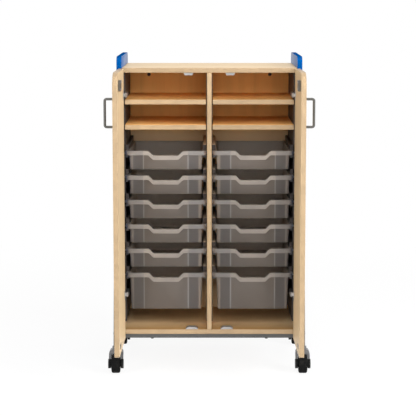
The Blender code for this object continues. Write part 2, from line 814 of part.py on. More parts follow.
def build_caster(unit, name, foot, direction):
    """A fork on a stem, with the wheel trailing towards the nearer end of the unit."""
    swivel = empty(f"{name}_caster_axis", foot, unit)
    axle_y = direction * TRAIL
    eye = arc((axle_y, WHEEL_R), FORK_EYE_R, 180, 360, EYE_STEPS)
    outline = [*eye, (FORK_HALF, FORK_TOP_Z), (-FORK_HALF, FORK_TOP_Z)]
    fork = place(f"{name}_caster_fork", side_plate(outline, -FORK_W / 2, FORK_W / 2), ZINC, swivel)
    round_edges(fork, FORK_ROUND, 2)
    reach = TRAIL + FORK_EYE_R + FORK_HALF
    shoulders = rounded_outline(
        (-FORK_W / 2, 0),
        (FORK_W / 2, FORK_TOP_Z),
        (FORK_ROUND, FORK_ROUND, FORK_SHOULDER, FORK_SHOULDER),
        SHOULDER_STEPS,
    )
    arch = cutter(f"{name}_fork_shoulders", front_plate(shoulders, -reach, reach), swivel)
    boolean(fork, arch, "INTERSECT")
    across = Matrix.Translation((0, axle_y, WHEEL_R)) @ Matrix.Rotation(math.radians(90), 4, "Y")
    gap = cylinder_mesh(WHEEL_R + WHEEL_CLEAR, -FORK_GAP / 2, FORK_GAP / 2, WHEEL_STEPS)
    gap.transform(across)
    boolean(fork, cutter(f"{name}_fork_gap", gap, swivel))
    head_low = FORK_TOP_Z - HEAD_SINK
    head_high = LEG_BOTTOM_Z - SEAT
    stem_top = LEG_BOTTOM_Z + STEM_LENGTH
    head = turned_mesh(
        (
            (0, stem_top),
            (STEM_R, stem_top),
            (STEM_R, head_high),
            (HEAD_R, head_high),
            (HEAD_R, head_low),
            (0, head_low),
        ),
        ROUND_STEPS,
    )
    boolean(fork, cutter(f"{name}_fork_head", head, swivel), "UNION")
    cap_in = FORK_W / 2 - AXLE_CAP_T
    cap_out = FORK_W / 2 + AXLE_CAP_T
    axle = turned_mesh(
        (
            (0, cap_out),
            (AXLE_CAP_R, cap_out),
            (AXLE_CAP_R, cap_in),
            (AXLE_R, cap_in),
            (AXLE_R, -cap_in),
            (AXLE_CAP_R, -cap_in),
            (AXLE_CAP_R, -cap_out),
            (0, -cap_out),
        ),
        ROUND_STEPS,
    )
    axle.transform(across)
    boolean(fork, cutter(f"{name}_fork_axle", axle, swivel), "UNION")
    wheel = turned_mesh(wheel_profile(), WHEEL_STEPS)
    wheel.transform(across)
    place(f"{name}_caster_wheel", smooth(wheel), RUBBER, swivel)


def wheel_profile():
    """Half section of the wheel, from its bore out over the hub, web and tread and back."""
    bore = AXLE_R + AXLE_PLAY
    half_w = WHEEL_W / 2
    half_hub = HUB_W / 2
    web = half_w - RIM_RECESS
    inner = TREAD_ROUND * (1 - math.cos(math.radians(45)))
    upper = [
        (bore, half_hub),
        (HUB_R, half_hub),
        (HUB_R, web),
        (RIM_R, web),
        (RIM_R, half_w),
        (WHEEL_R - TREAD_ROUND, half_w),
        (WHEEL_R - inner, half_w - inner),
        (WHEEL_R, half_w - TREAD_ROUND),
    ]
    return upper + [(radius, -height) for radius, height in reversed(upper)]


clear_scene()
PARTS = new_collection("classroom_tray_storage_unit")
CUTTERS = new_collection("cutters")
MAPLE = finish("maple_laminate", (0.72, 0.55, 0.36), 0.45)
BLUE = finish("blue_laminate", (0.0, 0.14, 0.47), 0.35)
BLACK = finish("black_runner_plastic", (0.02, 0.018, 0.016), 0.5)
SMOKE = finish("smoked_tray_plastic", (0.30, 0.27, 0.25), 0.35)
STEEL = finish("grey_painted_steel", (0.22, 0.225, 0.23), 0.4, 0.6)
NICKEL = finish("nickel_plated_steel", (0.62, 0.62, 0.62), 0.3, 1.0)
ZINC = finish("zinc_plated_steel", (0.40, 0.40, 0.42), 0.35, 1.0)
RUBBER = finish("black_wheel_rubber", (0.015, 0.015, 0.015), 0.6)


def main():
    unit = empty("unit_front", (0, FRONT_PLANE_Y, 0))
    build_cabinet(unit)
    build_runner_panels(unit)
    build_trays(unit)
    for hand, side in SIDES:
        build_door(unit, hand, side)
    build_catches(unit)
    build_base(unit)


main()
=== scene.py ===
"""Finishes, small fittings, floor, light and camera for a classroom tray storage unit.

The file is laid out as an add-on and run as a script. Everything is in metres, in the frame of the
CAD model: +Z up, the front towards -Y, the floor at z = 0.
"""

import json
import math

import bmesh
import bpy
from mathutils import Matrix, Vector


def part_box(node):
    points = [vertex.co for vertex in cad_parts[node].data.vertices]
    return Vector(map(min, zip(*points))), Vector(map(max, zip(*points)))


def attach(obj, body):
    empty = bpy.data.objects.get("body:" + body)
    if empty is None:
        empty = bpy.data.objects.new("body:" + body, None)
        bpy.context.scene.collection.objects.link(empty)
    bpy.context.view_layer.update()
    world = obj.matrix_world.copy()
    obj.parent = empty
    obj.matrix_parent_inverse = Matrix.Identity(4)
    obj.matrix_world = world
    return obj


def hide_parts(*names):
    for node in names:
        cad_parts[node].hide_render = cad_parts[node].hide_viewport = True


bl_info = {
    "name": "Classroom Tray Unit",
    "version": (1, 0, 0),
    "blender": (4, 5, 0),
    "location": "3D View > Sidebar > Tray Unit",
    "description": "Dresses the CAD model of a classroom tray storage unit",
    "category": "Object",
}

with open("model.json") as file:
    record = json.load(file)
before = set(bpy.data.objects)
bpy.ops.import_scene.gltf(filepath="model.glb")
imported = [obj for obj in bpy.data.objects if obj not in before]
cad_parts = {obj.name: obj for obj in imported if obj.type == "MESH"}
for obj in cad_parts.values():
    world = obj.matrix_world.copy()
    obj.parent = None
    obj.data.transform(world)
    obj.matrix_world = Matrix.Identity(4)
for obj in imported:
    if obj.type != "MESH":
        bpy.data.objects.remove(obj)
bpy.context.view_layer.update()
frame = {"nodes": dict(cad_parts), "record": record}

NODES = frame["nodes"]
BODY_OF = {
    node: body
    for body, nodes in frame["record"]["behaviour"]["bodies"].items()
    for node in nodes
}

SIDES = (("left", -1), ("right", 1))
ENDS = ("front", "rear")
LEVELS = ("upper", "lower")
TRAY_ROWS = range(1, 7)

# Places that the CAD model gives
FRONT_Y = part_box("top_panel")[0][1]
BACK_FACE_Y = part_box("back_panel")[0][1]
HINGE_X = 0.349
HINGE_Y = FRONT_Y - 0.010
DOOR_OPEN = math.radians(90.7)
DOOR_INNER_Y = 0.008
DOOR_OUTER_Y = -0.011
LOCK_X = -0.2855
LOCK_Z = 1.1855
BAY_X = abs(sum(corner[0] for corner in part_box("left_tray_1"))) / 2
TRAY_FRONT_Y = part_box("left_tray_1")[0][1]
TRAY_PAD_HALF = 0.0896
TRAY_CORNER = 0.133
AXLE_CAP_R = 0.0195
RIM_R = 0.027

# Painted light and shade on the trays
TRAY_FRONT_DEPTH = (0.024, 0.030)
TRAY_LINE = 0.55
TRAY_LINE_HALF = (0.0014, 0.0030)
TRAY_SHADE = (0.130, 0.142, 0.165)
TRAY_FADE = 0.28
TRAY_FADE_Z = (0.72, 0.90)
TOP_ROW_TONE = 0.45
TOP_ROW_Z = (0.81, 0.83)

# Proportions of the small fasteners
SCREW_SIDES = 20
SCREW_CROWN = 0.70
SCREW_SOCKET = 0.45
SCREW_SINK = 0.55
BOLT_WASHER = (1.35, 0.25)
BOLT_CHAMFER = 0.12

PLASTIC_IOR = 1.49
MERGE = 1e-5
FLAT = math.radians(0.5)
STRAIGHT = 0.99
FACING = 0.6
FLUSH = 0.9
SMOOTH_DEGREES = 35.0


# Shader wiring

class Wire:
    """An output of a shader node. Arithmetic on it adds Math nodes."""

    def __init__(self, tree, socket):
        self.tree = tree
        self.socket = socket

    def math(self, operation, first, second=0.0):
        return add_node(self.tree, "ShaderNodeMath", {"operation": operation}, {0: first, 1: second})

    def __add__(self, other):
        return self.math("ADD", self, other)

    def __radd__(self, other):
        return self.math("ADD", other, self)

    def __sub__(self, other):
        return self.math("SUBTRACT", self, other)

    def __rsub__(self, other):
        return self.math("SUBTRACT", other, self)

    def __mul__(self, other):
        return self.math("MULTIPLY", self, other)

    def __rmul__(self, other):
        return self.math("MULTIPLY", other, self)

    def __pow__(self, power):
        return self.math("POWER", self, power)

    def __abs__(self):
        return self.math("ABSOLUTE", self)

    def between(self, low, high):
        """0 below low, 1 above high and smooth between them."""
        settings = {"interpolation_type": "SMOOTHSTEP", "clamp": True}
        return add_node(self.tree, "ShaderNodeMapRange", settings, {0: self, 1: low, 2: high})


def add_node(tree, kind, settings, inputs, output=0):
    """Any node: its settings first, then the values or links of its sockets."""
    node = tree.nodes.new(kind)
    for key, value in settings.items():
        setattr(node, key, value)
    for key, value in inputs.items():
        connect(tree, node.inputs[key], value)
    return Wire(tree, node.outputs[output])


def connect(tree, socket, value):
    if isinstance(value, Wire):
        tree.links.new(value.socket, socket)
    elif socket.type == "RGBA":
        socket.default_value = (*value, 1.0)
    else:
        socket.default_value = value


class Finish:
    """A material whose patterns lie on Object coordinates."""

    def __init__(self, name):
        self.material = bpy.data.materials.new(name)
        self.material.use_nodes = True
        self.tree = self.material.node_tree
        self.shader = self.tree.nodes["Principled BSDF"]
        self.place = self.node("ShaderNodeTexCoord", {}, {}, "Object")

    def node(self, kind, settings, inputs, output=0):
        return add_node(self.tree, kind, settings, inputs, output)

    def put(self, **sockets):
        for name, value in sockets.items():
            connect(self.tree, self.shader.inputs[name.replace("_", " ")], value)
        return self.material

    def stretched(self, factors):
        settings = {"operation": "MULTIPLY"}
        return self.node("ShaderNodeVectorMath", settings, {0: self.place, 1: factors})

    def noise(self, factors, detail=3.0, roughness=0.55):
        inputs = {"Vector": self.stretched(factors), "Scale": 1.0, "Detail": detail, "Roughness": roughness}
        return self.node("ShaderNodeTexNoise", {}, inputs)

    def axis(self, name):
        return self.node("ShaderNodeSeparateXYZ", {}, {0: self.place}, name)

    def mix(self, factor, first, second):
        """A colour between two, on the Mix node's colour sockets."""
        inputs = {0: factor, 6: first, 7: second}
        return self.node("ShaderNodeMix", {"data_type": "RGBA"}, inputs, 2)

    def bump(self, height, distance, strength=1.0):
        inputs = {"Height": height, "Distance": distance, "Strength": strength}
        return self.node("ShaderNodeBump", {}, inputs)

    def attribute(self, name):
        return self.node("ShaderNodeAttribute", {"attribute_name": name}, {}, "Fac")

    def edge(self):
        """1 on the narrow faces that round an edge, where handling wears a finish."""
        return self.attribute("edge")


def even(value):
    return (value, value, value)


def toned(colour, factor):
    return tuple(channel * factor for channel in colour)


# Finishes

def board_finish(name, colour, grain_axis, gloss=0.2, fade=None):
    """Printed maple laminate: long grain with fine pores, rubbed at its edges.

    A fade is painted light and shade: it gives an axis, the places on it where it begins and ends, and the
    colour there.
    """
    finish = Finish(name)
    along = Vector(even(70.0))
    along[grain_axis] = 2.6
    figure = finish.noise(along * 0.28, 2.0)
    grain = finish.noise(along, 4.0, 0.6)
    pores = finish.noise(along * 6.0, 2.0)
    tint = finish.mix(figure.between(0.35, 0.70), toned(colour, 1.05), toned(colour, 0.95))
    tint = finish.mix(grain.between(0.52, 0.75) * 0.35, tint, toned(colour, 0.84))
    tint = finish.mix(finish.edge() * grain * 0.5, tint, toned(colour, 0.80))
    # Painted light and shade: the colour changes along one axis.
    if fade:
        axis, start, stop, end_colour = fade
        tint = finish.mix(finish.axis(axis).between(start, stop), tint, end_colour)
    return finish.put(
        Base_Color=tint,
        Specular_IOR_Level=gloss,
        Roughness=0.40 + 0.12 * pores,
        Normal=finish.bump(pores, 0.00008, 0.4),
    )


def edge_band_finish(name, colour):
    """Solid maple edge strip, a little warmer in colour than the laminate."""
    finish = Finish(name)
    streaks = finish.noise(even(26.0), 4.0)
    fine = finish.noise(even(420.0), 2.0)
    tint = finish.mix(streaks.between(0.35, 0.65), toned(colour, 1.05), toned(colour, 0.93))
    return finish.put(
        Base_Color=tint,
        Roughness=0.38 + 0.12 * fine,
        Normal=finish.bump(fine, 0.00005, 0.4),
    )


def blue_finish(name, colour, gloss):
    """Blue laminate with a fine pebble, paler where its edges are rubbed."""
    finish = Finish(name)
    cloud = finish.noise(even(7.0), 3.0)
    pebble = finish.noise(even(900.0), 2.0)
    scuffs = finish.noise((30.0, 30.0, 160.0), 4.0, 0.7)
    tint = finish.mix(cloud.between(0.3, 0.7), toned(colour, 0.95), toned(colour, 1.05))
    pale = tuple(0.75 * channel + 0.05 for channel in colour)
    tint = finish.mix(finish.edge() * scuffs.between(0.50, 0.75) * 0.4, tint, pale)
    return finish.put(
        Base_Color=tint,
        Specular_IOR_Level=gloss,
        Roughness=0.30 + 0.14 * scuffs,
        Normal=finish.bump(pebble, 0.00006, 0.5),
    )


def plastic_finish(name, colour, roughness, transmission=0.0, gloss=0.5):
    """Moulded plastic with a fine spark-eroded grain and slightly uneven colour."""
    finish = Finish(name)
    cloud = finish.noise(even(11.0), 3.0)
    texture = finish.noise(even(700.0), 2.0)
    tint = finish.mix(cloud.between(0.3, 0.7), toned(colour, 0.94), toned(colour, 1.05))
    return finish.put(
        Base_Color=tint,
        Transmission_Weight=transmission,
        IOR=PLASTIC_IOR,
        Specular_IOR_Level=gloss,
        Roughness=roughness + 0.14 * (cloud - 0.5) + 0.08 * texture,
        Normal=finish.bump(texture, 0.00007, 0.35),
    )


def tray_finish(name, colour, wall_colour, inner_colour, roughness, transmission):
    """Smoke-tinted tray plastic with a pale thick rim, and light caught by the front's steps and corners."""
    finish = Finish(name)
    cloud = finish.noise(even(9.0), 3.0)
    texture = finish.noise(even(650.0), 2.0)
    scratches = finish.noise((60.0, 60.0, 500.0), 3.0, 0.7)
    rim = finish.attribute("rim")
    across = abs(abs(finish.axis("X")) - BAY_X)
    front = 1.0 - (finish.axis("Y") - TRAY_FRONT_Y).between(*TRAY_FRONT_DEPTH)
    wall = front * (1.0 - rim)
    step = 1.0 - abs(across - TRAY_PAD_HALF).between(*TRAY_LINE_HALF)
    beside = across.between(TRAY_PAD_HALF, TRAY_PAD_HALF + 0.002)
    corner = across.between(TRAY_CORNER - 0.004, TRAY_CORNER)
    tint = finish.mix(rim, wall_colour, colour)
    tint = finish.mix(cloud.between(0.3, 0.7) * 0.5, tint, toned(wall_colour, 1.1))
    tint = finish.mix(front * beside * 0.42, tint, TRAY_SHADE)
    # Painted highlights: pale lines along the front's pad steps and at its corners.
    tint = finish.mix(wall * step * 0.8, tint, even(TRAY_LINE))
    tint = finish.mix(wall * corner * 0.8, tint, toned(colour, 1.15))
    # Painted shade: the trays below TRAY_FADE_Z are darkened by TRAY_FADE.
    shaded = finish.mix(TRAY_FADE, tint, even(0.0))
    tint = finish.mix(finish.axis("Z").between(*TRAY_FADE_Z), shaded, tint)
    # Painted light and shade: the inner walls take the pale inside colour, and in the top row a darker tone
    # of it.
    top_row = finish.axis("Z").between(*TOP_ROW_Z)
    inner = finish.mix(top_row, inner_colour, toned(inner_colour, TOP_ROW_TONE))
    tint = finish.mix(finish.attribute("inside"), tint, inner)
    return finish.put(
        Base_Color=tint,
        Transmission_Weight=transmission,
        IOR=PLASTIC_IOR,
        Roughness=roughness + 0.12 * scratches.between(0.5, 0.8) + 0.06 * texture,
        Normal=finish.bump(texture, 0.00006, 0.3),
    )


def painted_finish(name, colour):
    """Powder-coated steel: orange peel, an uneven tone and rubbed edges."""
    finish = Finish(name)
    peel = finish.noise(even(380.0), 2.0)
    cloud = finish.noise(even(9.0), 4.0)
    chips = finish.noise(even(120.0), 3.0, 0.7)
    tint = finish.mix(cloud.between(0.35, 0.7), toned(colour, 1.08), toned(colour, 0.92))
    tint = finish.mix(finish.edge() * chips.between(0.55, 0.7) * 0.6, tint, toned(colour, 1.8))
    return finish.put(
        Base_Color=tint,
        Specular_IOR_Level=0.12,
        Roughness=0.38 + 0.16 * cloud,
        Normal=finish.bump(peel, 0.00012, 0.5),
    )


def metal_finish(name, colour, roughness, brushed):
    """Plated steel with fine brushing along one axis."""
    finish = Finish(name)
    along = Vector(even(900.0))
    along[brushed] = 30.0
    lines = finish.noise(along, 3.0, 0.6)
    cloud = finish.noise(even(24.0), 3.0)
    tint = finish.mix(cloud.between(0.35, 0.7), toned(colour, 1.06), toned(colour, 0.90))
    return finish.put(
        Base_Color=tint,
        Metallic=0.92,
        Roughness=roughness + 0.14 * lines + 0.06 * cloud,
        Normal=finish.bump(lines, 0.00004, 0.35),
    )


def axle_distance(finish, axle):
    """Distance from the line of an axle that lies along X."""
    reach_y = finish.axis("Y") - axle.y
    reach_z = finish.axis("Z") - axle.z
    return (reach_y * reach_y + reach_z * reach_z) ** 0.5


def fork_finish(name, zinc, black, axle):
    """Zinc plate on the fork, and black plastic covers round the ends of its axle."""
    finish = Finish(name)
    plated = axle_distance(finish, axle).between(AXLE_CAP_R, AXLE_CAP_R + 0.001)
    cloud = finish.noise(even(45.0), 4.0, 0.6)
    lines = finish.noise((60.0, 60.0, 900.0), 2.0)
    plate = finish.mix(cloud.between(0.35, 0.7), toned(zinc, 1.08), toned(zinc, 0.82))
    return finish.put(
        Base_Color=finish.mix(plated, black, plate),
        Metallic=0.9 * plated,
        Roughness=0.42 + 0.12 * cloud - 0.12 * plated,
        Normal=finish.bump(lines, 0.00005, 0.3),
    )


def wheel_finish(name, rubber, hub, axle):
    """Dusty black tread round a smoother black hub."""
    finish = Finish(name)
    tread = axle_distance(finish, axle).between(RIM_R - 0.0005, RIM_R + 0.0005)
    grit = finish.noise(even(320.0), 4.0, 0.65)
    dust = finish.noise(even(38.0), 4.0, 0.6).between(0.45, 0.8) * tread
    tint = finish.mix(tread, hub, rubber)
    tint = finish.mix(dust * 0.10, tint, (0.12, 0.115, 0.105))
    return finish.put(
        Base_Color=tint,
        Specular_IOR_Level=0.08,
        Roughness=0.40 + 0.25 * tread + 0.10 * grit,
        Normal=finish.bump(grit, 0.00015, 0.4),
    )


# Pieces

def merged_copy(node):
    """The node's shape as one welded mesh of whole faces."""
    bm = bmesh.new()
    bm.from_mesh(NODES[node].data)
    bmesh.ops.remove_doubles(bm, verts=bm.verts, dist=MERGE)
    bmesh.ops.dissolve_limit(bm, angle_limit=FLAT, verts=bm.verts, edges=bm.edges)
    return bm


def mark_edges(bm):
    """Writes 1 to the edge attribute on every face that slants between the main directions."""
    layer = bm.loops.layers.float.new("edge")
    for face in bm.faces:
        slanted = max(abs(value) for value in face.normal) < STRAIGHT
        for loop in face.loops:
            loop[layer] = float(slanted)


def new_object(name, bm, materials, smooth_degrees=SMOOTH_DEGREES):
    mesh = bpy.data.meshes.new(name)
    bm.to_mesh(mesh)
    bm.free()
    for material in materials:
        mesh.materials.append(material)
    mesh.shade_smooth()
    mesh.set_sharp_from_angle(angle=math.radians(smooth_degrees))
    piece = bpy.data.objects.new(name, mesh)
    bpy.context.scene.collection.objects.link(piece)
    return piece


def dress(node, bm, materials, smooth_degrees=SMOOTH_DEGREES):
    """A finished piece that stands for one CAD node and moves with its body."""
    piece = new_object(f"{node}_look", bm, materials, smooth_degrees)
    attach(piece, BODY_OF[node])
    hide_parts(node)
    return piece


def fitting(name, bm, materials, body, smooth_degrees=SMOOTH_DEGREES):
    """A small piece that the CAD model leaves out."""
    piece = new_object(name, bm, materials, smooth_degrees)
    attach(piece, body)
    return piece


def add_box(bm, low, high):
    low = Vector(low)
    high = Vector(high)
    made = bmesh.ops.create_cube(bm, size=1.0)["verts"]
    bmesh.ops.scale(bm, vec=high - low, verts=made)
    bmesh.ops.translate(bm, vec=(low + high) / 2, verts=made)
    return made


def add_disc(bm, place, radius, height, segments=24):
    """A round boss standing on z = 0 of the place given."""
    stand = place @ Matrix.Translation((0, 0, height / 2))
    return bmesh.ops.create_cone(
        bm, cap_ends=True, segments=segments, radius1=radius, radius2=radius, depth=height, matrix=stand
    )["verts"]


def add_screw(bm, place, radius, height):
    """A domed screw head with a round socket, standing on z = 0 of the place given."""
    verts = bmesh.ops.create_cone(
        bm,
        cap_ends=True,
        segments=SCREW_SIDES,
        radius1=radius,
        radius2=radius * SCREW_CROWN,
        depth=height,
        matrix=place @ Matrix.Translation((0, 0, height / 2)),
    )["verts"]
    axis = place.to_3x3() @ Vector((0, 0, 1))
    caps = {face for vert in verts for face in vert.link_faces if len(face.verts) == SCREW_SIDES}
    top = max(caps, key=lambda face: face.calc_center_median().dot(axis))
    bmesh.ops.inset_region(bm, faces=[top], thickness=radius * (SCREW_CROWN - SCREW_SOCKET))
    sunk = bmesh.ops.extrude_discrete_faces(bm, faces=[top])["faces"]
    bmesh.ops.translate(bm, vec=axis * (-height * SCREW_SINK), verts=sunk[0].verts)


def add_bolt(bm, place, radius, height):
    """A hexagon head on a round washer."""
    washer_radius, washer_share = BOLT_WASHER
    washer = height * washer_share
    add_disc(bm, place, radius * washer_radius, washer)
    head = add_disc(bm, place @ Matrix.Translation((0, 0, washer)), radius, height - washer, 6)
    axis = place.to_3x3() @ Vector((0, 0, 1))
    top = max(vert.co.dot(axis) for vert in head)
    rim = {
        edge
        for vert in head
        for edge in vert.link_edges
        if all(abs(end.co.dot(axis) - top) < MERGE for end in edge.verts)
    }
    round_off(bm, list(rim), radius * BOLT_CHAMFER, 1)


def round_off(bm, edges, offset, segments):
    bmesh.ops.bevel(
        bm,
        geom=edges,
        offset=offset,
        offset_type="OFFSET",
        affect="EDGES",
        segments=segments,
        profile=0.5,
        material=-1,
    )


def facing(position, direction):
    """A place whose z points along the direction given."""
    turn = Vector(direction).to_track_quat("Z", "Y").to_matrix().to_4x4()
    return Matrix.Translation(position) @ turn


def door_place(side):
    """The door's own frame, in which it lies as if closed, about its hinge axis."""
    swing = Matrix.Rotation(side * DOOR_OPEN, 4, "Z")
    return Matrix.Translation((side * HINGE_X, HINGE_Y, 0)) @ swing


# Settings

def colour_setting(name, description, default):
    return bpy.props.FloatVectorProperty(
        name=name, description=description, subtype="COLOR", size=3, min=0.0, max=1.0, default=default
    )


def length_setting(name, description, default):
    return bpy.props.FloatProperty(
        name=name, description=description, subtype="DISTANCE", unit="LENGTH", min=0.0, default=default
    )


class TrayUnitColours(bpy.types.PropertyGroup):
    """Colours of the finishes"""

    maple: colour_setting("Maple", "Laminate on the panels, shelves and doors", (0.50, 0.375, 0.228))
    # Painted light: the amber inside colour stands for warm light bounced round inside the cabinet, whose
    # laminate is the same maple.
    inside: colour_setting("Inside", "Laminate inside the cabinet", (0.98, 0.56, 0.20))
    # Painted light: the back panel is paler low down, behind the trays.
    back_low: colour_setting("Back", "Laminate on the back panel, behind the trays", (1.0, 0.74, 0.46))
    # Painted light and shade: the bottom panel's top is dark at the front and pale at the rear.
    bottom: colour_setting("Bottom", "Laminate on the front of the bottom panel", (0.31, 0.18, 0.07))
    bottom_rear: colour_setting("Bottom rear", "Laminate on the rear of the bottom panel", (1.0, 0.69, 0.37))
    edge_band: colour_setting("Edge band", "Solid strip on the panel edges", (0.335, 0.235, 0.132))
    blue: colour_setting("Blue", "Laminate on the end panels", (0.0005, 0.050, 0.190))
    liner: colour_setting("Liner", "Black plastic of the runner panels", (0.048, 0.040, 0.036))
    # Maple colour, made pale to paint in light where little reaches beside the divider.
    inner_liner: colour_setting("Inner liner", "Runner panels beside the divider", (0.70, 0.56, 0.43))
    runner: colour_setting("Runner", "Smoky plastic of the tray runners", (0.10, 0.095, 0.095))
    # Pale bluish colour of the lips that each tray slides on.
    lip: colour_setting("Runner lip", "Worn lip that each tray slides on", (0.52, 0.55, 0.62))
    tray_rim: colour_setting("Tray rim", "Thick rim of the trays", (0.40, 0.355, 0.315))
    # Painted light: the trays' inner walls carry this pale colour, which lightens the gaps between the
    # trays.
    tray_inside: colour_setting("Tray inside", "Shaded inner walls of the trays", (0.92, 0.785, 0.65))
    tray_wall: colour_setting("Tray wall", "Thin walls of the trays", (0.26, 0.23, 0.208))
    paint: colour_setting("Paint", "Powder coat on the steel base", (0.072, 0.073, 0.072))
    satin: colour_setting("Satin steel", "Door pulls and lock cases", (0.17, 0.165, 0.152))
    nickel: colour_setting("Nickel", "Hinges, catches and screws", (0.46, 0.45, 0.44))
    zinc: colour_setting("Zinc", "Caster forks", (0.20, 0.20, 0.205))
    rubber: colour_setting("Rubber", "Caster treads", (0.005, 0.005, 0.005))
    black: colour_setting("Black", "Caster hubs, axle caps and plugs", (0.006, 0.006, 0.006))


class TrayUnitSizes(bpy.types.PropertyGroup):
    """Sizes of the fittings that the CAD model leaves out"""

    screw_radius: length_setting("Screw radius", "Heads of the small screws", 0.0032)
    screw_height: length_setting("Screw height", "Heads of the small screws", 0.0014)
    bolt_radius: length_setting("Bolt radius", "Heads on the legs and beams", 0.0065)
    bolt_height: length_setting("Bolt height", "Hexagon heads under the beams", 0.0045)
    key_radius: length_setting("Key plug radius", "Lock plug on the outside of each door", 0.0085)
    plug_radius: length_setting("Cover plug radius", "Dark plugs on the back panel", 0.0075)


class TrayUnitStage(bpy.types.PropertyGroup):
    """Camera and light"""

    distance: length_setting("Camera distance", "From the cabinet's front plane", 6.0)
    height: length_setting("Camera height", "Above the floor", 1.525)
    pitch: bpy.props.FloatProperty(
        name="Pitch", description="Camera's tilt downwards", subtype="ANGLE", default=math.radians(8.05)
    )
    yaw: bpy.props.FloatProperty(
        name="Yaw", description="Camera's turn to the left", subtype="ANGLE", default=math.radians(0.052)
    )
    lens: bpy.props.FloatProperty(
        name="Lens", description="Focal length", unit="CAMERA", min=1.0, default=130.3
    )
    key_power: bpy.props.FloatProperty(
        name="Key light", description="Large soft light at the right", subtype="POWER", default=330.0
    )
    front_power: bpy.props.FloatProperty(
        name="Front light", description="Large soft light near the camera", subtype="POWER", default=70.0
    )
    fill_power: bpy.props.FloatProperty(
        name="Fill light", description="Large soft light at the left", subtype="POWER", default=125.0
    )
    high_power: bpy.props.FloatProperty(
        name="High light", description="Large soft light over the camera", subtype="POWER", default=150.0
    )
    top_power: bpy.props.FloatProperty(
        name="Top light", description="Large soft light overhead", subtype="POWER", default=120.0
    )
    sky: bpy.props.FloatProperty(
        name="Sky", description="Even light from all round", min=0.0, default=0.25
    )


# Operators

class TRAYUNIT_OT_panels(bpy.types.Operator):
    """Finish the cabinet's panels, shelves and end panels"""

    bl_idname = "trayunit.panels"
    bl_label = "Panels"

    middle = Vector((0.0, 0.1, 0.7))
    # Painted shade: this tone darkens the edge strip on the top panel's front.
    top_tone = 0.80
    # Painted light and shade: the bottom, the shelves and the back change colour from front to back or
    # downwards.
    bottom_fade = 0.17
    shelf_fade = 0.28
    shelf_fronts = {"upper": 0.42, "lower": 0.82}
    back_fade = (0.98, 0.92)
    plug_x = 0.258
    plug_z = 1.190
    plug_height = 0.0012

    def execute(self, context):
        colours = context.scene.tray_unit_colours
        maple = board_finish("maple_across", colours.maple, 0)
        maple_upright = board_finish("maple_upright", colours.maple, 2)
        # Painted light: the amber finishes paint warm bounced light on the faces inside the cabinet.
        level = board_finish("amber_across", colours.inside, 0, 0.0)
        upright = board_finish("amber_upright", colours.inside, 2, 0.0)
        band = edge_band_finish("maple_edge_band", colours.edge_band)
        blue_edge = blue_finish("blue_edge", colours.blue, 0.0)
        blue_face = blue_finish("blue_laminate", colours.blue, 0.5)
        # Painted shade: a darker copy of the edge strip on the top panel.
        top_band = edge_band_finish("maple_top_band", toned(colours.edge_band, self.top_tone))
        self.panel("top_panel", [maple, top_band, level])
        # Painted shade: the shelf tops are darker at the front, the upper ones most, and turn to the inside
        # colour further back.
        inward = ("Y", FRONT_Y, FRONT_Y + self.shelf_fade, colours.inside)
        for name, tone in self.shelf_fronts.items():
            shelf = board_finish(f"amber_{name}_shelf", toned(colours.inside, tone), 0, 0.0, inward)
            for hand, _ in SIDES:
                self.panel(f"{hand}_{name}_shelf", [maple, band, shelf])
        # Painted light and shade: the bottom panel's top turns from dark at the front to pale at the rear.
        rearward = ("Y", FRONT_Y, FRONT_Y + self.bottom_fade, colours.bottom_rear)
        bottom = board_finish("maple_bottom", colours.bottom, 0, 0.0, rearward)
        self.panel("bottom_panel", [maple, band, bottom])
        # Painted light: the back panel turns paler lower down, behind the trays.
        back = board_finish("amber_back", colours.inside, 2, 0.0, ("Z", *self.back_fade, colours.back_low))
        self.panel("back_panel", [maple_upright, band, back])
        self.panel("centre_divider", [maple_upright, band, upright])
        for hand, _ in SIDES:
            bm = merged_copy(f"{hand}_end_panel")
            mark_edges(bm)
            for face in bm.faces:
                face.material_index = int(abs(face.normal.x) > FLUSH)
            dress(f"{hand}_end_panel", bm, [blue_edge, blue_face])
        self.cover_plugs(context.scene.tray_unit_sizes, colours)
        return {"FINISHED"}

    def panel(self, node, materials):
        """Front edges carry the edge strip, and faces that look into the cabinet carry the amber colour,
        which is painted warm bounced light.
        """
        bm = merged_copy(node)
        mark_edges(bm)
        for face in bm.faces:
            centre = face.calc_center_median()
            inward = face.normal.dot(self.middle - centre) > 0
            if face.normal.y < -FACING and node != "back_panel":
                face.material_index = 1
            elif inward or "shelf" in node or node == "centre_divider":
                face.material_index = 2
        dress(node, bm, materials)

    def cover_plugs(self, sizes, colours):
        """Dark plugs high on the back panel, seen in the upper compartments."""
        black = plastic_finish("black_cover_plug", colours.black, 0.45)
        bm = bmesh.new()
        for _, side in SIDES:
            place = facing((side * self.plug_x, BACK_FACE_Y, self.plug_z), (0, -1, 0))
            add_disc(bm, place, sizes.plug_radius, self.plug_height)
        fitting("back_panel_cover_plugs", bm, [black], "cabinet")


